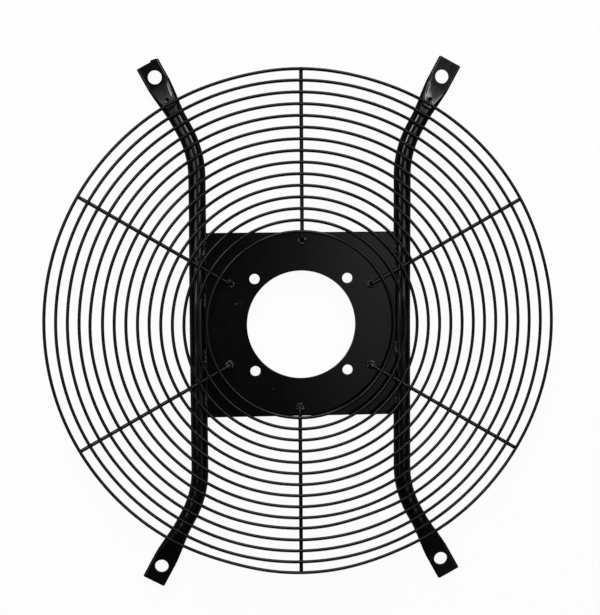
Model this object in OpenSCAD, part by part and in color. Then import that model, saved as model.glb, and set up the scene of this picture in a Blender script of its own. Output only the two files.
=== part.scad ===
// Wire fan guard with a motor plate.
// Round wire rings are welded on six spokes. The spokes are welded on two bent
// tubes, whose flattened ends are drilled, and on a plate set between the tubes.
// The guard lies on the backs of its tubes with the wire side up. The origin is
// on the fan's axis at the level of those backs, and +Y runs along the tubes.

/* [Grille] */
// Diameter over the outermost ring
grille_d = 447; // [440:1:470]
// Distance from one ring to the next
ring_pitch = 10; // [9:0.1:10]
// Number of rings
ring_count = 15; // [10:1:15]
// Thickness of the ring wire
ring_wire_d = 2.8; // [2:0.1:3.5]
// Thickness of the spoke wire
spoke_wire_d = 3.3; // [2.5:0.1:4]
// Angle between a side spoke and the line across the tubes
side_spoke_angle = 30; // [27:0.5:33]
// Turn of the side spokes against the tubes, as they were welded
side_spoke_turn = -0.7; // [-1:0.1:1]
// Sideways offset of each upright spoke from the fan's axis
upright_offset = 1.4; // [0:0.1:3]
// Distance from the fan's axis to the tip of a side spoke
side_tip_r = 71; // [68:0.5:74]
// Distance from the fan's axis to the tip of an upright spoke
upright_tip_r = 73.5; // [70:0.5:76]

/* [Spoke tips] */
// Angle by which a spoke's tip is bent down to the plate
tip_angle = 35; // [30:1:45]
// Bend radius of a spoke's tip, at the middle of the wire
tip_bend_r = 4; // [3:0.5:5]

/* [Tubes] */
// Outer diameter of the tubes
tube_d = 15; // [14:0.1:16]
// Wall of the tubes
tube_wall = 1.8; // [1.2:0.1:2]
// Distance between the middles of the two tubes
tube_spacing = 179.8; // [172:0.1:184]
// Bend radius of the tubes, at their middle line
tube_bend_r = 86; // [60:1:90]
// Angle of the tubes' ends against their straight run
tube_angle = 28.3; // [26:0.1:30]

/* [Flattened ends] */
// Distance between the end holes, across the tubes
end_holes_across = 249; // [240:1:260]
// Distance between the end holes, along the tubes
end_holes_along = 431.3; // [425:0.1:440]
// Diameter of the end holes
end_hole_d = 12; // [9:0.1:13.5]
// Distance from an end hole's middle to the tube's cut end
end_margin = 14.9; // [12:0.1:18]
// Width of the flattened ends
flat_w = 21; // [19:0.1:22]
// Thickness of the folded rims along a flattened end
rim_d = 4; // [3.8:0.1:5]
// Distance from an end hole's middle back to where the flat begins
flat_inset = 8; // [7:0.5:10]
// Length over which the round tube becomes flat
taper_len = 32; // [25:1:34]
// Distance from an end hole's middle to the fold dimple of the two upper ends
dimple_inset = 17.4; // [14:0.1:20]
// Radius of the fold dimple
dimple_r = 2.4; // [1.5:0.1:3]
// Depth of the fold dimple
dimple_depth = 1.1; // [0.6:0.1:1.3]
// Depth of the step in the uneven cut of the upper left end
cut_step = 1.1; // [0.5:0.1:3]
// How much shorter that end is than the others
cut_back = 1.5; // [0:0.1:3]
// Width of the part of that end that stands proud
cut_tooth_w = 6.8; // [4:0.1:9]

/* [Motor plate] */
// Height of the plate, along the tubes
plate_h = 162.4; // [150:0.1:180]
// Thickness of the plate
plate_t = 2.5; // [2:0.1:3]
// How far each side of the plate reaches over the flank of its tube
plate_reach = 0.8; // [0.4:0.1:1]
// Diameter of the motor's bore
motor_bore_d = 95.2; // [80:0.1:100]
// Diameter of the circle through the four motor holes
motor_circle_d = 115; // [110:1:120]
// Diameter of the motor holes
motor_hole_d = 9; // [6:0.1:10]

/* [Welds] */
// Diameter of the weld at a spoke's tip
tip_weld_d = 8; // [7:0.1:10]
// Height of the weld at a spoke's tip
tip_weld_h = 2.6; // [2.2:0.1:3.2]
// Thickness of the weld beads between the plate and the tubes
bead_d = 4.4; // [4:0.1:5]
// Length of one of these beads
bead_len = 13; // [8:0.5:18]
// Diameter of the weld where a side spoke crosses a tube
cross_weld_d = 6; // [5:0.1:7]
// Gap left where two welded pieces meet
joint_gap = 0.05; // [0.02:0.01:0.2]

/* [Hidden] */
$fn = 96;
hull_fn = 32;

// Rings and spokes, from the tubes upwards
tube_r = tube_d / 2;
tube_x = tube_spacing / 2;
tube_z = tube_r;
spoke_r = spoke_wire_d / 2;
spoke_z = tube_d + joint_gap + spoke_r;
ring_z = spoke_z + spoke_r + joint_gap + ring_wire_d / 2;

// The tubes' middle lines: straight run, bend, then straight on through the end hole.
// Places along an end are measured from where its line would meet the straight run's.
end_hole_s = (end_holes_across / 2 - tube_x) / sin(tube_angle);
vertex_y = end_holes_along / 2 - end_hole_s * cos(tube_angle);
bend_run = tube_bend_r * tan(tube_angle / 2);
straight_y = vertex_y - bend_run;
bend_end_s = bend_run;
flat_start_s = end_hole_s - flat_inset;
taper_start_s = flat_start_s - taper_len;
end_s = end_hole_s + end_margin;
flat_t = 2 * tube_wall;
rim_x = (flat_w - rim_d) / 2;
slit_d = 0.4;

// The bender leaves a faint ring where each bend of a tube or a spoke starts and ends
bend_mark_h = 0.04;
bend_mark_len = 1;
spoke_mark_len = 0.6;
bend_mark_gap = 0.05;
taper_lap = 0.6;
taper_inset = 0.05;
taper_rim_inset = 0.3;

// The plate rests with its back edges on the flanks of the tubes
plate_w = tube_spacing - tube_d + 2 * plate_reach;
plate_back_z = tube_z + sqrt(pow(tube_r + joint_gap, 2) - pow(tube_r - plate_reach, 2));
plate_front_z = plate_back_z + plate_t;

// A spoke's tip bends down until its edge stands just over the plate
tip_drop = spoke_z - plate_front_z - joint_gap - spoke_r * cos(tip_angle);
tip_len = (tip_drop - tip_bend_r * (1 - cos(tip_angle))) / sin(tip_angle);
tip_run = tip_bend_r * sin(tip_angle) + tip_len * cos(tip_angle);
tip_weld_shift = 0.5;
tip_weld_clear = 0.25;

// Places of the plate's weld beads along the left and the right tube
LEFT_BEADS = [66, 22, -27, -66];
RIGHT_BEADS = [68, 45, -22, -66];

// Each spoke: name, direction, sideways offset, distance of its tip
SPOKES = [
    ["spoke_top", 90, -upright_offset, upright_tip_r],
    ["spoke_upper_right", side_spoke_angle + side_spoke_turn, 0, side_tip_r],
    ["spoke_lower_right", -side_spoke_angle + side_spoke_turn, 0, side_tip_r],
    ["spoke_bottom", -90, -upright_offset, upright_tip_r],
    ["spoke_lower_left", 180 + side_spoke_angle + side_spoke_turn, 0, side_tip_r],
    ["spoke_upper_left", 180 - side_spoke_angle + side_spoke_turn, 0, side_tip_r],
];
SIDE_SPOKES = [for (s = SPOKES) if (abs(cos(s[1])) > 0.5) s];

function ring_name(i) = str("ring_", i < 10 ? "0" : "", i);
function ring_r(i) = (grille_d - ring_wire_d) / 2 - (i - 1) * ring_pitch;

// One closed ring of round wire; ring 1 is the outermost
module ring(i) {
    color([0.07, 0.07, 0.075])
    translate([0, 0, ring_z])
    rotate_extrude()
    translate([ring_r(i), 0])
    circle(d = ring_wire_d);
}

// A spoke's wire along +X, from its tip bent down to the plate to the outer ring's edge
module spoke_wire(tip_r) {
    bend_x = tip_r + tip_run;
    translate([bend_x + bend_mark_gap, 0, spoke_z])
    rotate([0, 90, 0])
    cylinder(h = grille_d / 2 - bend_x - bend_mark_gap, r = spoke_r);
    translate([bend_x, 0, spoke_z])
    rotate([0, 90, 0])
    cylinder(h = spoke_mark_len, r = spoke_r + bend_mark_h, center = true);
    translate([bend_x, 0, spoke_z - tip_bend_r])
    rotate([90, 0, 0])
    rotate([0, 0, 90])
    rotate_extrude(angle = tip_angle)
    translate([tip_bend_r, 0])
    circle(r = spoke_r);
    translate([tip_r + tip_len * cos(tip_angle), 0, spoke_z - tip_drop + tip_len * sin(tip_angle)])
    rotate([0, -90 - tip_angle, 0]) {
        cylinder(h = spoke_mark_len, r = spoke_r + bend_mark_h, center = true);
        translate([0, 0, bend_mark_gap])
        cylinder(h = tip_len - bend_mark_gap, r = spoke_r);
    }
}

// Puts a spoke, or what belongs to it, in its direction
module at_spoke(s) {
    rotate([0, 0, s[1]])
    translate([0, s[2], 0])
    children();
}

module spoke(s) {
    color([0.075, 0.075, 0.08])
    at_spoke(s)
    spoke_wire(s[3]);
}

// The middle part of the right tube: straight run, both bends and both round ends
module tube_run(r) {
    half_y = straight_y - bend_mark_gap;
    translate([tube_x, -half_y, tube_z])
    rotate([-90, 0, 0])
    cylinder(h = 2 * half_y, r = r);
    for (side = [0, 1])
    mirror([0, side, 0]) {
        translate([tube_x, straight_y, tube_z])
        rotate([90, 0, 0])
        cylinder(h = bend_mark_len, r = r + bend_mark_h, center = true);
        translate([tube_x + tube_bend_r, straight_y, tube_z])
        rotate([0, 0, 180 - tube_angle])
        rotate_extrude(angle = tube_angle)
        translate([tube_bend_r, 0])
        circle(r = r);
        at_end(bend_end_s)
        cylinder(h = bend_mark_len, r = r + bend_mark_h, center = true);
        at_end(bend_end_s + bend_mark_gap)
        cylinder(h = taper_start_s + taper_lap / 2 - bend_end_s - bend_mark_gap, r = r);
    }
}

// Places along the upper end of the right tube, with Z along the tube
module at_end(s) {
    translate([tube_x, vertex_y, tube_z])
    rotate([0, 0, -tube_angle])
    translate([0, s, 0])
    rotate([-90, 0, 0])
    children();
}

// The tapering stretch from the round tube to the flat
module taper(round_r, edge_d, reach) {
    hull() {
        at_end(taper_start_s)
        cylinder(h = taper_lap, r = round_r - taper_inset, $fn = hull_fn);
        at_end(flat_start_s + reach)
        for (x = [-rim_x, rim_x])
        translate([x, 0, 0])
        cylinder(h = taper_lap, d = edge_d, $fn = hull_fn / 2);
    }
}

// The flat with its folded rims, up to the cut end
module flat() {
    at_end(flat_start_s) {
        translate([-rim_x, -flat_t / 2, 0])
        cube([2 * rim_x, flat_t, end_s - flat_start_s]);
        for (x = [-rim_x, rim_x])
        translate([x, 0, 0])
        cylinder(h = end_s - flat_start_s, d = rim_d);
    }
}

module end_hole() {
    at_end(end_hole_s)
    rotate([90, 0, 0])
    cylinder(h = 3 * rim_d, d = end_hole_d, center = true);
}

// A dimple where the front wall of an upper end folded in as it was pressed
module fold_dimple() {
    slope = (tube_r - rim_d / 2) / taper_len;
    surface = rim_d / 2 + slope * (dimple_inset - flat_inset);
    at_end(end_hole_s - dimple_inset)
    translate([0, -(surface + dimple_r - dimple_depth), 0])
    sphere(r = dimple_r);
}

// One tube: bent, pressed flat at both ends, drilled and hollow between the flats
module tube() {
    difference() {
        union() {
            tube_run(tube_r);
            for (side = [0, 1])
            mirror([0, side, 0]) {
                taper(tube_r, rim_d - taper_rim_inset, 0);
                flat();
            }
        }
        tube_run(tube_r - tube_wall);
        for (side = [0, 1])
        mirror([0, side, 0]) {
            taper(tube_r - tube_wall, slit_d, -2);
            end_hole();
        }
        fold_dimple();
    }
}

module right_tube() {
    color([0.08, 0.08, 0.085])
    tube();
}

// The left tube is the right one mirrored, with an uneven cut at its upper end
module left_tube() {
    color([0.08, 0.08, 0.085])
    mirror([1, 0, 0])
    difference() {
        tube();
        at_end(end_s - cut_back)
        translate([-flat_w, -rim_d, 0])
        cube([2 * flat_w, 2 * rim_d, 2 * cut_back]);
        at_end(end_s - cut_back - cut_step)
        translate([cut_tooth_w - flat_w / 2, -rim_d, 0])
        cube([flat_w, 2 * rim_d, 2 * cut_step]);
    }
}

// The plate between the tubes, with the motor's bore and its four holes
module motor_plate() {
    color([0.09, 0.09, 0.095])
    difference() {
        translate([-plate_w / 2, -plate_h / 2, plate_back_z])
        cube([plate_w, plate_h, plate_t]);
        translate([0, 0, plate_back_z - plate_t])
        cylinder(h = 3 * plate_t, d = motor_bore_d);
        for (a = [45:90:315])
        rotate([0, 0, a])
        translate([motor_circle_d / 2, 0, plate_back_z - plate_t])
        cylinder(h = 3 * plate_t, d = motor_hole_d);
    }
}

// Domed welds on the plate, one round the tip of each spoke
module spoke_tip_welds() {
    dome_r = (pow(tip_weld_d / 2, 2) + pow(tip_weld_h, 2)) / (2 * tip_weld_h);
    color([0.08, 0.08, 0.085])
    for (s = SPOKES)
    at_spoke(s)
    difference() {
        translate([s[3] + tip_weld_shift, 0, plate_front_z])
        intersection() {
            translate([0, 0, tip_weld_h - dome_r])
            sphere(r = dome_r);
            translate([-tip_weld_d, -tip_weld_d, 0])
            cube([2 * tip_weld_d, 2 * tip_weld_d, 2 * tip_weld_h]);
        }
        translate([s[3], 0, spoke_z - tip_drop])
        rotate([0, 90 - tip_angle, 0])
        translate([0, 0, -joint_gap])
        cylinder(h = tip_weld_d, r = spoke_r + tip_weld_clear);
    }
}

// Weld beads in the groove between the plate's front edge and the right tube
module plate_welds(places) {
    bead_x = plate_w / 2 + plate_reach;
    end_r = bead_d / 3;
    end_run = bead_d / 4;
    for (y = places)
    difference() {
        translate([bead_x, y - bead_len / 2, plate_front_z])
        rotate([-90, 0, 0])
        rotate_extrude()
        polygon([
            [0, 0], [end_r, 0], [bead_d / 2, end_run],
            [bead_d / 2, bead_len - end_run], [end_r, bead_len], [0, bead_len],
        ]);
        translate([tube_x, -plate_h / 2, tube_z])
        rotate([-90, 0, 0])
        cylinder(h = plate_h, r = tube_r + joint_gap);
        translate([0, -plate_h / 2, plate_front_z - bead_d])
        cube([plate_w / 2 + 2 * plate_reach, plate_h, bead_d]);
    }
}

// Room for the side spokes, which pass over the plate's long edges
module spoke_room() {
    for (s = SIDE_SPOKES)
    at_spoke(s)
    translate([plate_w / 2 / abs(cos(s[1])), 0, spoke_z])
    rotate([0, 90, 0])
    cylinder(h = 4 * bead_d, r = spoke_r + joint_gap, center = true);
}

module right_plate_welds() {
    color([0.08, 0.08, 0.085])
    difference() {
        plate_welds(RIGHT_BEADS);
        spoke_room();
    }
}

module left_plate_welds() {
    color([0.08, 0.08, 0.085])
    difference() {
        mirror([1, 0, 0])
        plate_welds(LEFT_BEADS);
        spoke_room();
    }
}

// Small welds on both sides of each side spoke where it crosses a tube
module tube_spoke_welds() {
    color([0.08, 0.08, 0.085])
    for (s = SIDE_SPOKES)
    at_spoke(s)
    difference() {
        cross_x = tube_x / abs(cos(s[1]));
        translate([cross_x, 0, tube_d])
        sphere(d = cross_weld_d);
        translate([cross_x, 0, spoke_z])
        rotate([0, 90, 0])
        cylinder(h = 2 * cross_weld_d, r = spoke_r + joint_gap, center = true);
        translate([cross_x, 0, tube_z])
        rotate([0, 0, -s[1]])
        rotate([90, 0, 0])
        cylinder(h = 2 * tube_d, r = tube_r + joint_gap, center = true);
    }
}

for (i = [1:ring_count])
ring(i);
for (s = SPOKES)
spoke(s);
left_tube();
right_tube();
motor_plate();
spoke_tip_welds();
left_plate_welds();
right_plate_welds();
tube_spoke_welds();
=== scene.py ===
import bmesh
import bpy
import math
from mathutils import Matrix, Vector, noise


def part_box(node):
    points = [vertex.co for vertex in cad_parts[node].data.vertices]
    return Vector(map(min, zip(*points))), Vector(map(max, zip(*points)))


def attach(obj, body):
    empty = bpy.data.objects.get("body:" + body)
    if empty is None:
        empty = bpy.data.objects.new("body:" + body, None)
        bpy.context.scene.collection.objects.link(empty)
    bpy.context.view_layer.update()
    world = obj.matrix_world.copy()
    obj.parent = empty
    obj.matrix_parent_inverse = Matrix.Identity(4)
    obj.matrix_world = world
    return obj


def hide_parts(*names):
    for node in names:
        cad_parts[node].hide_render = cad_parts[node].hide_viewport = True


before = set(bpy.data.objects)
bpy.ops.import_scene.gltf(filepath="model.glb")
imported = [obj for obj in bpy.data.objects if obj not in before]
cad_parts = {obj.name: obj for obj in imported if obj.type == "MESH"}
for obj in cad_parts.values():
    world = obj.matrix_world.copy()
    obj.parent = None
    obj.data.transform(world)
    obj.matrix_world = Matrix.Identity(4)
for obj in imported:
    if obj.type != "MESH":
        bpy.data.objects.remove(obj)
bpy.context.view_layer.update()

# Mounting tubes. Two round steel tubes, each bent at both ends, pressed flat
# there, cut off and drilled. Like the whole guard they are powder coated black
# after welding, so the coat is made here and reused for every other piece.
TUBE_R = 0.0075
TUBE_X, TUBE_Z = 0.0899, 0.0075
BEND_R = 0.086
END_ANGLE = math.radians(28.3)
END_OUT = Vector((math.sin(END_ANGLE), math.cos(END_ANGLE), 0))
END_SIDE = Vector((math.cos(END_ANGLE), -math.sin(END_ANGLE), 0))
# The straight run and the end would meet here, and the end is measured from it
VERTEX_Y = 0.15139
CORNER = Vector((TUBE_X, VERTEX_Y, TUBE_Z))
HOLE_S, HOLE_R = 0.07298, 0.006
TAPER_S, FLAT_S = HOLE_S - 0.040, HOLE_S - 0.008
FLAT_W, FLAT_H = 0.0105, 0.0019
# The pit where a folded end gave way, the lip on its tube side, the shallow
# valley that leaves it, and the inner shoulder that the die spared
FOLD_S = HOLE_S - 0.0221
PIT_R, PIT_DEPTH = 0.0014, 0.0034
LIP_R, LIP_W, LIP_H = 0.0024, 0.0006, 0.0003
VALLEY_W, VALLEY_DEPTH = 0.003, 0.00015
SHOULDER_IN, SHOULDER_W, SHOULDER_H = 0.0021, 0.0016, 0.00055
# The raised rim along both pressed edges, and the bend along the flat's crease
RIM_U, RIM_W, RIM_H = 0.0085, 0.0009, 0.00006
CREASE_SLOPE, CREASE_REACH = 0.02, 0.004
# The sawn edge: how far back it is uneven, and the mouth of the tube inside it
CUT_REACH = 0.006
MOUTH_WALL, MOUTH_DEPTH = 0.00165, 0.0015


def node_group(name, takes, gives):
    group = bpy.data.node_groups.new(name, "ShaderNodeTree")
    for label, kind, value in takes:
        socket = group.interface.new_socket(label, in_out="INPUT", socket_type=kind)
        if value is not None:
            socket.default_value = value
    for label, kind in gives:
        group.interface.new_socket(label, in_out="OUTPUT", socket_type=kind)
    return group, group.nodes.new("NodeGroupInput"), group.nodes.new("NodeGroupOutput")


def add(tree, kind, links=None, **values):
    """A node with its properties, socket values by name or number, and links."""
    node = tree.nodes.new(kind)
    for key, value in values.items():
        setattr(node, key, value)
    for socket, source in (links or {}).items():
        if isinstance(source, bpy.types.NodeSocket):
            tree.links.new(source, node.inputs[socket])
        else:
            node.inputs[socket].default_value = source
    return node


def figure(tree, operation, *values, clamp=False):
    """The result of one sum on sockets and numbers."""
    return add(tree, "ShaderNodeMath", dict(enumerate(values)), operation=operation, use_clamp=clamp).outputs[0]


def ranged(tree, value, start, end, low=0.0, high=1.0):
    """A value that runs from start to end, laid over low to high and held there."""
    return add(tree, "ShaderNodeMapRange", {
        "Value": value, "From Min": start, "From Max": end, "To Min": low, "To Max": high}).outputs[0]


def clouded(tree, at, scale, detail, roughness=0.5):
    """Soft noise at a scale."""
    return add(tree, "ShaderNodeTexNoise", {
        "Vector": at, "Scale": scale, "Detail": detail, "Roughness": roughness}).outputs["Fac"]


def blended(tree, share, first, second):
    """One colour going over to another."""
    return add(tree, "ShaderNodeMix", {"Factor": share, 6: first, 7: second}, data_type="RGBA").outputs[2]


# Orange peel: the low, soft ripples that powder leaves as it flows in the oven.
peel, given, result = node_group(
    "orange_peel",
    [("Position", "NodeSocketVector", None), ("Ripple", "NodeSocketFloat", 420.0)],
    [("Height", "NodeSocketFloat")])
wide = clouded(peel, given.outputs["Position"], given.outputs["Ripple"], 2.0, 0.55)
finer = figure(peel, "MULTIPLY", given.outputs["Ripple"], 3.1)
fine = clouded(peel, given.outputs["Position"], finer, 1.0)
peel.links.new(figure(peel, "MULTIPLY_ADD", fine, 0.3, wide), result.inputs["Height"])

# Coat tone: slow clouds in colour and gloss, and a thin film of dust with a few
# grains on faces that look up.
DUST_GREY = (0.022, 0.021, 0.02, 1)
tone, given, result = node_group(
    "coat_tone",
    [("Position", "NodeSocketVector", None), ("Coat", "NodeSocketColor", (0.003, 0.003, 0.0032, 1)),
     ("Gloss", "NodeSocketFloat", 0.22), ("Dust", "NodeSocketFloat", 0.5)],
    [("Color", "NodeSocketColor"), ("Roughness", "NodeSocketFloat")])
position = given.outputs["Position"]
clouds = clouded(tone, position, 34.0, 3.0, 0.6)
shade = ranged(tone, clouds, 0.3, 0.7, 0.75, 1.3)
toned = add(tone, "ShaderNodeVectorMath", {0: given.outputs["Coat"], "Scale": shade}, operation="SCALE")
facing = add(tone, "ShaderNodeNewGeometry")
up = add(tone, "ShaderNodeSeparateXYZ", {0: facing.outputs["Normal"]})
lies = ranged(tone, up.outputs["Z"], 0.2, 1.0)
grains = add(tone, "ShaderNodeTexVoronoi", {"Vector": position, "Scale": 260.0})
grain = ranged(tone, grains.outputs["Distance"], 0.07, 0.03, 0.0, 0.4)
haze = ranged(tone, clouded(tone, position, 90.0, 4.0, 0.7), 0.45, 0.75, 0.0, 0.25)
grit = figure(tone, "ADD", grain, haze, clamp=True)
dust = figure(tone, "MULTIPLY", figure(tone, "MULTIPLY", grit, lies), given.outputs["Dust"])
gloss = figure(tone, "MULTIPLY_ADD", clouds, 0.06, given.outputs["Gloss"])
level = figure(tone, "SUBTRACT", gloss, 0.03)
tone.links.new(blended(tone, dust, toned.outputs[0], DUST_GREY), result.inputs["Color"])
tone.links.new(figure(tone, "MULTIPLY_ADD", dust, 0.3, level), result.inputs["Roughness"])

# Edge wear and painted sheen: powder draws back from sharp edges, so the coat is thinner there, and the edges are
# painted a lighter grey that also stands for light caught along them.
THIN_COAT_AND_SHEEN_GREY = (0.03, 0.03, 0.031, 1)
edge_wear_sheen, given, result = node_group(
    "edge_wear_and_sheen",
    [("Position", "NodeSocketVector", None), ("Color", "NodeSocketColor", None),
     ("Amount", "NodeSocketFloat", 1.0)],
    [("Color", "NodeSocketColor")])
rounded = add(edge_wear_sheen, "ShaderNodeBevel", {"Radius": 0.0007}, samples=4)
facing = add(edge_wear_sheen, "ShaderNodeNewGeometry")
same = add(edge_wear_sheen, "ShaderNodeVectorMath", {0: rounded.outputs[0], 1: facing.outputs["Normal"]}, operation="DOT_PRODUCT")
edge = ranged(edge_wear_sheen, same.outputs["Value"], 0.97, 0.78)
worn_and_sheen = ranged(edge_wear_sheen, clouded(edge_wear_sheen, given.outputs["Position"], 300.0, 3.0), 0.4, 0.7, 0.1, 0.6)
mask = figure(edge_wear_sheen, "MULTIPLY", edge, worn_and_sheen)
share = figure(edge_wear_sheen, "MULTIPLY", mask, given.outputs["Amount"], clamp=True)
# The sharp edges are blended to a lighter grey: partly thin coat, partly a painted sheen.
edge_wear_sheen.links.new(blended(edge_wear_sheen, share, given.outputs["Color"], THIN_COAT_AND_SHEEN_GREY), result.inputs["Color"])

COAT_BLACK = (0.0016, 0.0016, 0.0017, 1)
SCUFF_GREY = (0.09, 0.09, 0.09, 1)


def powder_coat(name, coat=COAT_BLACK, gloss=0.14, ripple=420.0, depth=0.00001, dust_share=0.2,
                rubbed_and_sheen=0.0, shine=0.4, scuffs=(), scuffed_z=0.0):
    """A material of black powder coat. Scuffs are short scratches on the face at
    scuffed_z: x, y, turn, half length, half width."""
    paint = bpy.data.materials.new(name)
    paint.use_nodes = True
    tree = paint.node_tree
    skin = tree.nodes["Principled BSDF"]
    skin.inputs["IOR"].default_value = 1.45
    skin.inputs["Specular IOR Level"].default_value = shine
    place = add(tree, "ShaderNodeTexCoord").outputs["Object"]
    look = add(tree, "ShaderNodeGroup", node_tree=tone)
    tree.links.new(place, look.inputs["Position"])
    look.inputs["Coat"].default_value = coat
    look.inputs["Gloss"].default_value = gloss
    look.inputs["Dust"].default_value = dust_share
    color = look.outputs["Color"]
    # Sharp edges are painted lighter here, partly for thin coat and partly as a painted sheen.
    if rubbed_and_sheen:
        edges = add(tree, "ShaderNodeGroup", node_tree=edge_wear_sheen)
        tree.links.new(place, edges.inputs["Position"])
        tree.links.new(color, edges.inputs["Color"])
        edges.inputs["Amount"].default_value = rubbed_and_sheen
        color = edges.outputs["Color"]
    for x, y, turn, half_length, half_width in scuffs:
        on = add(tree, "ShaderNodeMapping", {
            "Vector": place, "Location": (x, y, scuffed_z), "Rotation": (0, 0, turn),
            "Scale": (half_length, half_width, 1)}, vector_type="TEXTURE")
        away = add(tree, "ShaderNodeVectorMath", {0: on.outputs[0]}, operation="LENGTH")
        line = ranged(tree, away.outputs["Value"], 1.0, 0.5)
        skips = ranged(tree, clouded(tree, place, 900.0, 2.0), 0.42, 0.55)
        color = blended(tree, figure(tree, "MULTIPLY", line, skips), color, SCUFF_GREY)
    tree.links.new(color, skin.inputs["Base Color"])
    tree.links.new(look.outputs["Roughness"], skin.inputs["Roughness"])
    ripples = add(tree, "ShaderNodeGroup", node_tree=peel)
    tree.links.new(place, ripples.inputs["Position"])
    ripples.inputs["Ripple"].default_value = ripple
    relief = add(tree, "ShaderNodeBump", {"Strength": 1.0, "Distance": depth, "Height": ripples.outputs["Height"]})
    tree.links.new(relief.outputs["Normal"], skin.inputs["Normal"])
    return paint


def finish_piece(name, shape, material, slot, *stands_for, sharp=math.radians(38)):
    """Turns a bmesh into a smooth shaded piece of the guard."""
    bmesh.ops.recalc_face_normals(shape, faces=shape.faces[:])
    for face in shape.faces:
        face.smooth = len(face.verts) < 40
    for edge in shape.edges:
        edge.smooth = len(edge.link_faces) == 2 and edge.calc_face_angle(0) < sharp
    mesh = bpy.data.meshes.new(name)
    shape.to_mesh(mesh)
    shape.free()
    mesh.materials.append(material)
    piece = bpy.data.objects.new(name, mesh)
    bpy.context.scene.collection.objects.link(piece)
    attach(piece, "root")
    if stands_for:
        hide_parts(*stands_for)


def cut_with(shape, cutter):
    """Takes the space of the cutter out of a closed shape and rounds the sharp edges."""
    things = []
    for label, part in (("blank", shape), ("drill", cutter)):
        mesh = bpy.data.meshes.new(label)
        part.to_mesh(mesh)
        part.free()
        things.append(bpy.data.objects.new(label, mesh))
        bpy.context.scene.collection.objects.link(things[-1])
    blank, drill = things
    drilled = blank.modifiers.new("drilled", "BOOLEAN")
    drilled.operation, drilled.object, drilled.solver = "DIFFERENCE", drill, "EXACT"
    soft = blank.modifiers.new("soft", "BEVEL")
    soft.width, soft.segments = 0.00025, 2
    soft.limit_method, soft.angle_limit = "ANGLE", math.radians(50)
    bpy.context.view_layer.update()
    shown = blank.evaluated_get(bpy.context.evaluated_depsgraph_get())
    cut = bmesh.new()
    cut.from_mesh(shown.to_mesh())
    shown.to_mesh_clear()
    for thing in things:
        mesh = thing.data
        bpy.data.objects.remove(thing)
        bpy.data.meshes.remove(mesh)
    return cut


def ease(t):
    """A smooth step from 0 to 1."""
    t = min(max(t, 0.0), 1.0)
    return t * t * (3 - 2 * t)


def bell(x, width):
    return math.exp(-((x / width) ** 2))


def draw_out(shape, loop, way):
    """Draws a loop of edges out along a way, and gives its new corners and edges."""
    grown = bmesh.ops.extrude_edge_only(shape, edges=loop)["geom"]
    verts = [g for g in grown if isinstance(g, bmesh.types.BMVert)]
    bmesh.ops.translate(shape, verts=verts, vec=way)
    return verts, [g for g in grown if isinstance(g, bmesh.types.BMEdge)]


def round_tube_half(shell, cut_s):
    """The upper half of the right tube, still round: straight run, bend and end."""
    bend_s = BEND_R * math.tan(END_ANGLE / 2)
    straight_y = VERTEX_Y - bend_s
    lies = Matrix.Translation((TUBE_X, 0, TUBE_Z)) @ Matrix.Rotation(math.pi / 2, 4, "X")
    bmesh.ops.create_circle(shell, segments=144, radius=TUBE_R, matrix=lies)
    loop = shell.edges[:]
    for step in range(4):
        verts, loop = draw_out(shell, loop, (0, straight_y / 4, 0))
    bent = bmesh.ops.spin(
        shell, geom=verts + loop, cent=(TUBE_X + BEND_R, straight_y, TUBE_Z),
        axis=(0, 0, 1), angle=-END_ANGLE, steps=18)["geom_last"]
    loop = [g for g in bent if isinstance(g, bmesh.types.BMEdge)]
    s = bend_s
    while s < cut_s - 1e-6:
        if abs(s - FOLD_S) < 0.004:
            step = 0.00035
        else:
            step = 0.0008 if s > TAPER_S - 0.002 else 0.004
        step = min(step, cut_s - s)
        s += step
        verts, loop = draw_out(shell, loop, END_OUT * step)
    return loop


def press_end(shell, folded, crease):
    """Presses the end flat. The wall keeps its girth, so it widens as it flattens.
    A folded end drops from a pit in its front wall down to the flat, and the die
    spared its inner shoulder."""
    for vert in shell.verts:
        away = vert.co - CORNER
        s, u, w = away.dot(END_OUT), away.dot(END_SIDE), away.z
        if s < TAPER_S or vert.co.y < 0.1:
            continue
        t = min((s - TAPER_S) / (FLAT_S - TAPER_S), 1)
        even = TUBE_R + (FLAT_H - TUBE_R) * (t + 0.5 * (ease(t) - t))
        width = TUBE_R + (FLAT_W - TUBE_R) * (TUBE_R - even) / (TUBE_R - FLAT_H)
        turn = abs(math.atan2(abs(w), abs(u)))
        along = turn / (math.pi / 2) * (width - even + math.pi / 2 * even)
        if along < math.pi / 2 * even:
            x, z = width - even + even * math.cos(along / even), even * math.sin(along / even)
        else:
            x, z = width - (along - math.pi / 2 * even) - even, even
        x = math.copysign(x, u)
        if w > 0 and folded:
            leaves = ease((s - FOLD_S) / 0.003) * (1 - ease((s - FOLD_S) / 0.0145))
            z -= VALLEY_DEPTH * leaves * bell(x + 0.0002, VALLEY_W)
            reach = math.hypot((x + 0.0001) * 1.2, (s - FOLD_S) * (1.8 if s > FOLD_S else 1))
            z -= PIT_DEPTH * math.exp(-((reach / PIT_R) ** 4))
            z += LIP_H * bell(reach - LIP_R, LIP_W) * ease((FOLD_S - s) / 0.0012)
            spared = ease((s - TAPER_S - 0.006) / 0.018) * (1 - ease((s - HOLE_S + 0.015) / 0.014))
            z += SHOULDER_H * spared * bell(x + width - SHOULDER_IN, SHOULDER_W)
        z += RIM_H * (bell(abs(x) - RIM_U, RIM_W) - 0.5) * ease((t - 0.8) / 0.2)
        if w > 0:
            bend = CREASE_SLOPE if crease < 0 else -CREASE_SLOPE
            z += bend * ease((s - HOLE_S + 0.006) / 0.014) * (min(abs(x - crease), CREASE_REACH) - 0.003)
        lift = math.copysign(z, w) if abs(w) > 1e-9 else 0
        vert.co = CORNER + END_OUT * s + END_SIDE * x + Vector((0, 0, lift))


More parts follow.
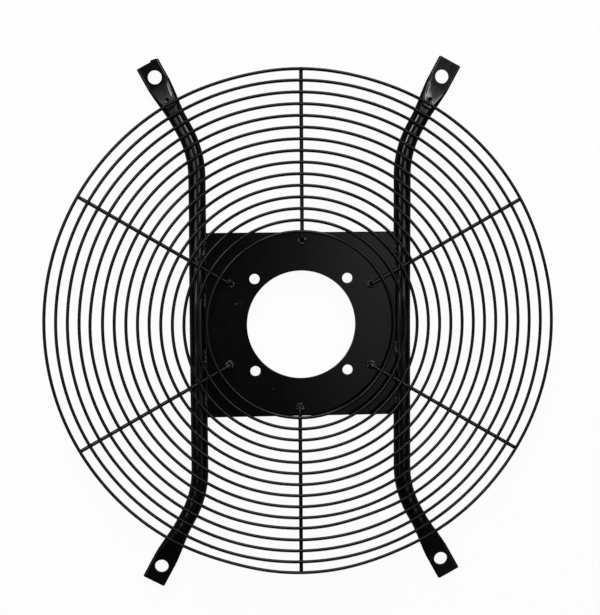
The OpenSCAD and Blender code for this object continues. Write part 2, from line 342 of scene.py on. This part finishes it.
def ragged_cut(shell, cut_s, back, step, step_u, seed):
    """Makes the sawn edge uneven: shorter, stepped beside a slanting tooth, and torn."""
    for vert in shell.verts:
        away = vert.co - CORNER
        s, u = away.dot(END_OUT), away.dot(END_SIDE)
        if s < cut_s - CUT_REACH or vert.co.y < 0.1:
            continue
        torn = back + step * ease((u - step_u) / 0.0008)
        if back:
            torn += 0.2 * max(0, step_u - u - 0.001)
        torn += 0.00035 * abs(noise.noise((u * 700, seed, 0))) + 0.0005 * (abs(u) / FLAT_W) ** 14
        vert.co -= END_OUT * torn * ease((s - cut_s + CUT_REACH) / 0.0045)


def sway(shell, bow, splay):
    """Each end was bent by hand, so it stands up to a millimetre off."""
    for vert in shell.verts:
        y = vert.co.y
        vert.co.x += bow * ease(y / 0.12) + (splay - bow) * max(0, (y - 0.12) / 0.095)


# How each end came out: its side and way, whether it folded, how far the cut is
# from the hole, the cut's step, the crease, the hole's shift and the hand's sway
TUBE_ENDS = {
    "left_tube": (
        dict(side=-1, way=1, folded=True, margin=0.0149, back=0.0015, step=0.0011, step_u=-0.0037,
             crease=-0.002, hole_shift=-0.0007, bow=-0.0008, splay=-0.0002),
        dict(side=-1, way=-1, folded=False, margin=0.0153, back=0, step=0, step_u=0,
             crease=0.0, hole_shift=0.0, bow=0.0003, splay=0.0008)),
    "right_tube": (
        dict(side=1, way=1, folded=True, margin=0.0153, back=0, step=0, step_u=0,
             crease=0.0024, hole_shift=0.0, bow=0.0003, splay=0.0006),
        dict(side=1, way=-1, folded=False, margin=0.0153, back=0, step=0, step_u=0,
             crease=0.0, hole_shift=0.0, bow=0.0002, splay=0.0008)),
}
# The tube coat has lighter edges, partly thin coat and partly a painted sheen.
tube_coat = powder_coat("tube_powder_coat", ripple=300.0, depth=0.000012, rubbed_and_sheen=0.7)
for tube_name, ends in TUBE_ENDS.items():
    tube = bmesh.new()
    drills = bmesh.new()
    for number, end in enumerate(ends):
        side, way = end["side"], end["way"]
        half = bmesh.new()
        cut_s = HOLE_S + end["margin"]
        cap = bmesh.ops.contextual_create(half, geom=round_tube_half(half, cut_s))["faces"]
        press_end(half, end["folded"], end["crease"])
        bmesh.ops.inset_individual(half, faces=cap, thickness=MOUTH_WALL, depth=0)
        mouth = list({v for f in cap for v in f.verts})
        bmesh.ops.translate(half, verts=mouth, vec=END_OUT * -MOUTH_DEPTH)
        ragged_cut(half, cut_s, end["back"], end["step"], end["step_u"], 3.0 * number + side)
        sway(half, end["bow"], end["splay"])
        bmesh.ops.scale(half, vec=(side, way, 1), verts=half.verts[:])
        mesh = bpy.data.meshes.new("half")
        half.to_mesh(mesh)
        half.free()
        tube.from_mesh(mesh)
        bpy.data.meshes.remove(mesh)
        hole = Vector((TUBE_X + end["splay"], VERTEX_Y, TUBE_Z)) + END_OUT * (HOLE_S + end["hole_shift"])
        bmesh.ops.create_cone(
            drills, cap_ends=True, segments=64, radius1=HOLE_R, radius2=HOLE_R, depth=0.02,
            matrix=Matrix.Translation((hole.x * side, hole.y * way, hole.z)))
    bmesh.ops.remove_doubles(tube, verts=tube.verts[:], dist=1e-6)
    bmesh.ops.recalc_face_normals(tube, faces=tube.faces[:])
    finish_piece("pressed_" + tube_name, cut_with(tube, drills), tube_coat, "tube", tube_name)

# Motor plate. A 2.5 mm steel sheet between the tubes, with a bore for the motor's
# spigot and four bolt holes. Its long edges rest on the tubes and are welded, and
# it was tacked on a little askew.
MOTOR_BORE_R = 0.0476
MOTOR_CIRCLE_R, MOTOR_HOLE_R = 0.0575, 0.0045
ASKEW = Vector((0.0004, -0.0002, 0))
PLATE_BLACK = (0.0011, 0.0011, 0.0012, 1)
PLATE_SCUFFS = (
    (-0.0566, 0.0188, 0.3, 0.0021, 0.00035),
    (-0.0519, 0.0201, 0.2, 0.0014, 0.0003),
    (-0.0250, -0.0570, 1.2, 0.0007, 0.0003),
    (0.0570, -0.0690, 0.7, 0.0016, 0.0002),
)
low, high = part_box("motor_plate")
plate_face = high.z
plate = bmesh.new()
bmesh.ops.create_cube(
    plate, size=1, matrix=Matrix.Translation((low + high) / 2) @ Matrix.Diagonal((*(high - low), 1)))
openings = [(0, 0, MOTOR_BORE_R, 160)]
for corner in (1, 3, 5, 7):
    angle = math.pi / 4 * corner
    openings.append((MOTOR_CIRCLE_R * math.cos(angle), MOTOR_CIRCLE_R * math.sin(angle), MOTOR_HOLE_R, 48))
punches = bmesh.new()
for x, y, radius, segments in openings:
    bmesh.ops.create_cone(
        punches, cap_ends=True, segments=segments, radius1=radius, radius2=radius, depth=0.02,
        matrix=Matrix.Translation((x, y, (low.z + high.z) / 2)))
for part in (plate, punches):
    bmesh.ops.translate(part, verts=part.verts[:], vec=ASKEW)
# The plate coat has lighter edges too, partly thin coat and partly a painted sheen, and a few scuffs.
plate_coat = powder_coat(
    "plate_powder_coat", coat=PLATE_BLACK, gloss=0.13, ripple=380.0, dust_share=0.1,
    rubbed_and_sheen=0.8, scuffs=PLATE_SCUFFS, scuffed_z=plate_face)
finish_piece("punched_plate", cut_with(plate, punches), plate_coat, "plate", "motor_plate")

# Plate welds. Short beads of weld metal in the groove between the plate's long
# edges and the tubes, laid by hand in little overlapping drops.
BEAD_PLACES = {"left": (-1, (0.066, 0.022, -0.027, -0.066)), "right": (1, (0.068, 0.045, -0.022, -0.066))}
BEAD_OUT, BEAD_SINK = 0.0006, 0.0003
DROPS, DROP_PITCH = 9, 0.00125
weld_coat = powder_coat("weld_powder_coat", gloss=0.16, ripple=800.0, depth=0.00003)
bead_coat = powder_coat("bead_powder_coat", gloss=0.34, ripple=800.0, depth=0.00003)


def lump(shape, at, size, turn=0.0, rough=0.12, seed=0.0, subdivisions=3):
    """A drop of weld metal: an uneven rounded lump."""
    verts = bmesh.ops.create_icosphere(shape, subdivisions=subdivisions, radius=1)["verts"]
    for vert in verts:
        swell = noise.noise(vert.co * 1.3 + Vector((seed, seed * 0.7, 3.1)))
        swell += 0.5 * noise.noise(vert.co * 3.1 + Vector((seed, 0, seed)))
        vert.co *= 1 + rough * swell
    bmesh.ops.scale(shape, vec=size, verts=verts)
    bmesh.ops.rotate(shape, cent=(0, 0, 0), matrix=Matrix.Rotation(turn, 3, "Z"), verts=verts)
    bmesh.ops.translate(shape, vec=at, verts=verts)


for word, (side, places) in BEAD_PLACES.items():
    beads = bmesh.new()
    for k, y in enumerate(places):
        for drop in range(DROPS):
            seed = 10 * side + 3 * k + 0.7 * drop
            shift = 0.0006 * noise.noise((seed, 1.7, 0))
            swell = 1 + 0.6 * noise.noise((seed, 0.4, 2.2))
            at = (side * (high.x + BEAD_OUT + shift), y + (drop - 4) * DROP_PITCH + shift,
                  plate_face - BEAD_SINK + shift)
            lump(beads, at, (0.0017 * swell, 0.0012, 0.0012 * swell),
                 turn=shift * 900, rough=0.25, seed=seed, subdivisions=2)
    finish_piece(word + "_weld_beads", beads, bead_coat, "weld", word + "_plate_welds")

# Spokes. Six straight drawn wires from the outer ring in to the plate. Each tip
# is bent down to the plate; the outer end is sheared off at the outer ring.
SPOKE_R, SPOKE_Z = 0.00165, 0.0167
SPOKE_REACH = 0.2234
TIP_ANGLE = math.radians(35)
TIP_BEND_R = 0.004
TIP_GAP = 0.00005
# Each spoke's direction in degrees, its offset sideways and its tip's distance
SPOKES = {
    "spoke_top": (90, -0.0014, 0.0735),
    "spoke_upper_right": (29.3, 0, 0.071),
    "spoke_lower_right": (-30.7, 0, 0.071),
    "spoke_bottom": (-90, -0.0014, 0.0735),
    "spoke_lower_left": (209.3, 0, 0.071),
    "spoke_upper_left": (149.3, 0, 0.071),
}
wire_coat = powder_coat("wire_powder_coat", gloss=0.2, ripple=500.0, shine=0.26)
tip_drop = SPOKE_Z - plate_face - TIP_GAP - SPOKE_R * math.cos(TIP_ANGLE)
tip_len = (tip_drop - TIP_BEND_R * (1 - math.cos(TIP_ANGLE))) / math.sin(TIP_ANGLE)
tip_run = TIP_BEND_R * math.sin(TIP_ANGLE) + tip_len * math.cos(TIP_ANGLE)


def lay(spoke):
    """Turns what lies along X so that it lies along the spoke."""
    degrees, offset, tip = spoke
    return Matrix.Rotation(math.radians(degrees), 4, "Z") @ Matrix.Translation((0, offset, 0))


for spoke_name, spoke in SPOKES.items():
    wire = bmesh.new()
    bend_x = spoke[2] + tip_run
    stands = Matrix.Translation((SPOKE_REACH, 0, SPOKE_Z)) @ Matrix.Rotation(math.pi / 2, 4, "Y")
    bmesh.ops.create_circle(wire, cap_ends=True, segments=20, radius=SPOKE_R, matrix=stands)
    verts, loop = draw_out(wire, wire.edges[:], (bend_x - SPOKE_REACH, 0, 0))
    bent = bmesh.ops.spin(
        wire, geom=verts + loop, cent=(bend_x, 0, SPOKE_Z - TIP_BEND_R),
        axis=(0, 1, 0), angle=-TIP_ANGLE, steps=6)["geom_last"]
    loop = [g for g in bent if isinstance(g, bmesh.types.BMEdge)]
    verts, loop = draw_out(wire, loop, (-tip_len * math.cos(TIP_ANGLE), 0, -tip_len * math.sin(TIP_ANGLE)))
    bmesh.ops.contextual_create(wire, geom=loop)
    bmesh.ops.transform(wire, matrix=lay(spoke), verts=wire.verts[:])
    finish_piece("wire_" + spoke_name, wire, wire_coat, "spoke_wire", spoke_name)

# Spoke tip welds. A blob of weld metal fixes each spoke's tip to the plate, with
# small drops where the arc broke off.
blobs = bmesh.new()
for k, spoke in enumerate(SPOKES.values()):
    tip = lay(spoke) @ Vector((spoke[2] + 0.0005, 0, plate_face))
    lump(blobs, tip, (0.0040, 0.0035, 0.0011), 0.5 * k, rough=0.35, seed=5.3 * k, subdivisions=4)
    for drop in range(7):
        seed = 4.1 * k + 1.3 * drop
        angle = 2 * math.pi * drop / 7 + noise.noise((seed, 0.2, 0))
        reach = 0.0027 + 0.0012 * noise.noise((seed, 3.2, 0))
        size = 0.0012 + 0.0007 * noise.noise((seed, 5.2, 1))
        at = tip + Vector((reach * math.cos(angle), reach * math.sin(angle), 0.0006))
        lump(blobs, at, (size * 1.3, size, size), angle, rough=0.3, seed=seed)
finish_piece("spoke_tip_blobs", blobs, weld_coat, "weld", "spoke_tip_welds")

# Tube crossing welds. Two small drops of weld metal hold each side spoke to the
# tube that it crosses, one on either side of the wire.
drops = bmesh.new()
for k, spoke in enumerate(SPOKES.values()):
    degrees = spoke[0]
    if abs(degrees) == 90:
        continue
    across = TUBE_X / abs(math.cos(math.radians(degrees)))
    for side in (-1, 1):
        at = lay(spoke) @ Vector((across, side * 0.0017, 0.0153))
        lump(drops, at, (0.0019, 0.0013, 0.0011), math.radians(degrees), seed=2.3 * k + side)
finish_piece("tube_crossing_drops", drops, weld_coat, "weld", "tube_spoke_welds")

# Weld spatter. Specks of weld metal that flew off the arc and stuck to the tubes
# and the plate, and were coated over with the rest.
SPECKS = (
    (-0.1146, -0.1862, 0.0131, 0.0007),
    (-0.1059, -0.1906, 0.0132, 0.0007),
    (-0.0868, 0.0905, 0.0148, 0.0004),
    (0.0882, -0.0585, 0.0149, 0.0004),
    (0.0705, 0.0352, plate_face, 0.0004),
)
spatter = bmesh.new()
for k, (x, y, z, size) in enumerate(SPECKS):
    lump(spatter, (x, y, z), (size, size, size), seed=k, subdivisions=2)
finish_piece("weld_spatter", spatter, weld_coat, "weld")

# Rings. Fifteen rings of drawn wire, butt welded closed and then resistance
# welded onto the spokes in one press. Two of them have taken dents since.
RING_COUNT, RING_PITCH = 15, 0.01
RING_R, RING_Z = 0.0014, 0.01979
OUTER_RING_R = 0.22203
# For a dented ring, the places round it in degrees and how far each is pushed out
RING_DENTS = {
    1: ((18, -0.0006), (75, -0.0007), (105, -0.0008), (252, -0.0015), (292, -0.0012)),
    5: ((183, 0.0008), (264, -0.0006), (288, -0.0018)),
}
DENT_SPREAD = 11
for number in range(RING_COUNT):
    radius = OUTER_RING_R - RING_PITCH * number
    ring_wire = bmesh.new()
    stands = Matrix.Translation((radius, 0, RING_Z)) @ Matrix.Rotation(math.pi / 2, 4, "X")
    bmesh.ops.create_circle(ring_wire, segments=16, radius=RING_R, matrix=stands)
    bmesh.ops.spin(
        ring_wire, geom=ring_wire.verts[:] + ring_wire.edges[:], cent=(0, 0, 0),
        axis=(0, 0, 1), angle=2 * math.pi, steps=192, use_merge=True)
    bmesh.ops.remove_doubles(ring_wire, verts=ring_wire.verts[:], dist=1e-6)
    for vert in ring_wire.verts:
        out = Vector((vert.co.x, vert.co.y, 0)).normalized()
        here = math.degrees(math.atan2(out.y, out.x)) % 360
        for at, push in RING_DENTS.get(number + 1, ()):
            vert.co += out * push * bell(here - at, DENT_SPREAD)
    node_name = "ring_%02d" % (number + 1)
    finish_piece("wire_" + node_name, ring_wire, wire_coat, "ring_wire", node_name)

# Ring crossing welds. A little metal is squeezed out where the press welds a ring
# onto a spoke, and sits as a small fillet between the two wires.
crossings = bmesh.new()
for number in range(RING_COUNT):
    radius = OUTER_RING_R - RING_PITCH * number
    for k, spoke in enumerate(SPOKES.values()):
        along = math.sqrt(radius ** 2 - spoke[1] ** 2)
        at = lay(spoke) @ Vector((along, 0, SPOKE_Z + SPOKE_R))
        lump(crossings, at, (0.0014, 0.0015, 0.0009), math.radians(spoke[0]),
             rough=0.1, seed=number + 0.37 * k, subdivisions=2)
finish_piece("ring_crossing_welds", crossings, weld_coat, "weld")

# Camera. It hangs over the guard, a little to the left of its middle and further
# up, and looks almost straight down.
camera_data = bpy.data.cameras.new("camera")
camera_data.sensor_width = 36
camera_data.lens = 84.355
camera_data.shift_x, camera_data.shift_y = -0.06504, -0.0122
camera_data.clip_start, camera_data.clip_end = 0.05, 50
camera = bpy.data.objects.new("camera", camera_data)
bpy.context.scene.collection.objects.link(camera)
camera.location = (-0.06867, 0.15515, 1.2686)
camera.rotation_euler = (-0.105685, -0.082501, -0.004247)
bpy.context.scene.camera = camera
bpy.context.scene.view_settings.view_transform = "Standard"

# Studio. The guard lies on a white table in a room with a dark ceiling, which
# has one lighter strip a little right of the middle and glows low at the back.
# The coat mirrors dim walls, and the camera sees plain white.
CEILING = (
    (0.44, 0.1), (0.478, 0.12), (0.492, 0.0), (0.53, 0.14), (0.56, 1.3),
    (0.568, 0.46), (0.60, 0.3), (0.68, 0.35), (0.78, 0.0),
)
world = bpy.data.worlds.new("studio_room")
bpy.context.scene.world = world
world.use_nodes = True
room = world.node_tree
backdrop = room.nodes["Background"]
path = add(room, "ShaderNodeLightPath").outputs
direction = add(room, "ShaderNodeTexCoord").outputs["Generated"]
parts = add(room, "ShaderNodeSeparateXYZ", {0: direction}).outputs
bounce = add(room, "ShaderNodeValToRGB", {0: ranged(room, parts["X"], -1.0, 1.0)})
for at, brightness in CEILING:
    stop = bounce.color_ramp.elements.new(at)
    stop.color = (brightness, brightness, brightness, 1)
for end in (0, -1):
    bounce.color_ramp.elements[end].color = (0, 0, 0, 1)
toward = figure(room, "MULTIPLY_ADD", parts["Y"], 5.0, 1.28)
limited = add(room, "ShaderNodeClamp", {"Value": toward, "Min": 0.15, "Max": 0.98})
behind = ranged(room, parts["Y"], 0.2, 0.45, 0.0, 1.3)
middle = ranged(room, figure(room, "ABSOLUTE", parts["X"]), 0.36, 0.5, 1.0, 0.0)
back_glow = figure(room, "MULTIPLY", behind, middle)
ceiling = figure(room, "MULTIPLY_ADD", bounce.outputs["Color"], limited.outputs[0], back_glow)
wall = ranged(room, parts["Z"], 0.4, 0.0, 0.0, 0.06)
mirrored = figure(room, "MULTIPLY", path["Is Glossy Ray"], wall)
clear = figure(room, "MAXIMUM", path["Is Camera Ray"], path["Is Transmission Ray"])
seen = figure(room, "MAXIMUM", clear, mirrored)
bright = add(room, "ShaderNodeMix", {"Factor": seen, 2: ceiling, 3: 1.0})
room.links.new(bright.outputs[0], backdrop.inputs["Strength"])
backdrop.inputs["Color"].default_value = (1, 1, 1, 1)

# Soft boxes. Five stand on each side and three behind. Those marked up and turn
# are far out, so that the bends of the tubes mirror them and the flats don't. The
# others beside them light the straight runs, and those behind light the wires.
SOFT_BOXES = (
    ("left_up", (-1.36, 1.1, 2.3), 0.54, 0.76, 10, 20.63),
    ("left_turn", (-1.74, 0.6, 2.3), 0.46, 0.36, 0, 3.38),
    ("left_mid", (-0.34, 0.06, 0.58), 0.25, 0.28, 0, 0.48),
    ("left_low", (-0.44, -0.23, 0.58), 0.22, 0.26, 0, 0.09),
    ("left_edge", (-0.66, -0.1, 0.58), 0.28, 0.24, 0, 0.17),
    ("right_up", (1.38, 1.04, 2.3), 0.5, 0.76, -10, 15.52),
    ("right_turn", (1.76, 0.58, 2.3), 0.46, 0.36, 0, 2.86),
    ("right_mid", (0.6, 0.06, 1.14), 0.34, 0.4, 0, 0.98),
    ("right_low", (0.62, -0.36, 1.14), 0.4, 0.36, 0, 0.2),
    ("right_edge", (1.1, -0.18, 1.14), 0.45, 0.4, 0, 0.34),
    ("back", (0, 1.9, 0.75), 2.0, 0.8, 0, 18),
    ("back_left", (-0.46, 1.85, 1.6), 0.5, 0.6, 0, 5.65),
    ("back_right", (0.70, 1.85, 1.6), 0.5, 0.6, 0, 5.65),
)


def soft_box(name, at, width, length, turn, watts):
    """A lamp turned to the guard, its long side lying at an angle to the tubes."""
    lamp = bpy.data.lights.new(name, "AREA")
    lamp.shape = "RECTANGLE"
    lamp.size, lamp.size_y = width, length
    lamp.energy = watts
    box = bpy.data.objects.new(name, lamp)
    bpy.context.scene.collection.objects.link(box)
    back = Vector(at).normalized()
    tall = Vector((math.sin(math.radians(turn)), math.cos(math.radians(turn)), 0))
    tall = (tall - back * back.dot(tall)).normalized()
    turned = Matrix((tall.cross(back), tall, back)).transposed().to_4x4()
    box.matrix_world = Matrix.Translation(at) @ turned


for name, at, width, length, turn, watts in SOFT_BOXES:
    soft_box("soft_box_" + name, at, width, length, turn, watts)

# Table top. A plain white board, wide enough to fill every view. It looks evenly
# white from above and keeps the faint shadow of the guard.
TABLE_HALF = 20
table_mesh = bpy.data.meshes.new("table_top")
sheet = bmesh.new()
bmesh.ops.create_grid(sheet, x_segments=1, y_segments=1, size=TABLE_HALF)
sheet.to_mesh(table_mesh)
sheet.free()
table = bpy.data.objects.new("table_top", table_mesh)
bpy.context.scene.collection.objects.link(table)
white = bpy.data.materials.new("white_board")
white.use_nodes = True
tree = white.node_tree
tree.nodes.clear()
board = add(tree, "ShaderNodeBsdfDiffuse", {"Color": (0.6, 0.6, 0.6, 1)})
path = add(tree, "ShaderNodeLightPath").outputs
level = add(tree, "ShaderNodeMix", {"Factor": path["Is Glossy Ray"], 2: 1.0, 3: 0.1})
glow = add(tree, "ShaderNodeEmission", {"Color": (1, 1, 1, 1), "Strength": level.outputs[0]})
seen = figure(tree, "MULTIPLY", path["Is Camera Ray"], 0.95)
mirrored = figure(tree, "MAXIMUM", path["Is Glossy Ray"], path["Is Transmission Ray"])
share = figure(tree, "MAXIMUM", seen, mirrored)
mix = add(tree, "ShaderNodeMixShader", {0: share, 1: board.outputs[0], 2: glow.outputs[0]})
out = add(tree, "ShaderNodeOutputMaterial")
tree.links.new(mix.outputs[0], out.inputs["Surface"])
table_mesh.materials.append(white)
